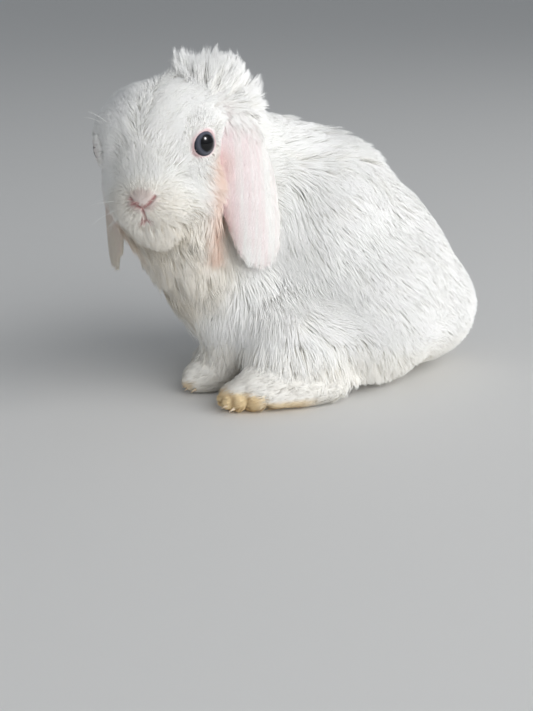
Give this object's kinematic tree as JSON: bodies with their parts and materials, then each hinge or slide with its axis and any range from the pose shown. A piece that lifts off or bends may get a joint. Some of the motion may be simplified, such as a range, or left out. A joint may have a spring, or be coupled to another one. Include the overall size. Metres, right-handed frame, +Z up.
{
  "type": "lop rabbit",
  "caption": "Young white lop rabbit sitting with its head turned to its left and its ears hanging, a still life-size model with a fluffy coat.",
  "frame": {"origin": "on the floor, under the middle of the whole animal's length and width", "axes": "+Z up, -Y the way the body faces, +X the animal's left"},
  "size_m": [0.1002, 0.1642, 0.1319],
  "materials": {
    "coat": "soft matte white fur, creamy in the shade",
    "foot_coat": "short matte fur, stained yellow-tan at the toes and sole",
    "ear": "pale pink skin under thin white hairs",
    "eye": "wet gloss, dark blue-grey with a black pupil"
  },
  "bodies": {
    "root": {"head": "coat", "neck": "coat", "trunk": "coat", "tail": "coat", "foreleg_left": "coat", "foreleg_right": "coat", "forepaw_left": "coat", "forepaw_right": "coat", "hindleg_left": "coat", "hindleg_right": "coat", "hindfoot_left": "foot_coat", "hindfoot_right": "foot_coat", "ear_left": "ear", "ear_right": "ear", "eye_left": "eye", "eye_right": "eye"}
  },
  "joints": []
}
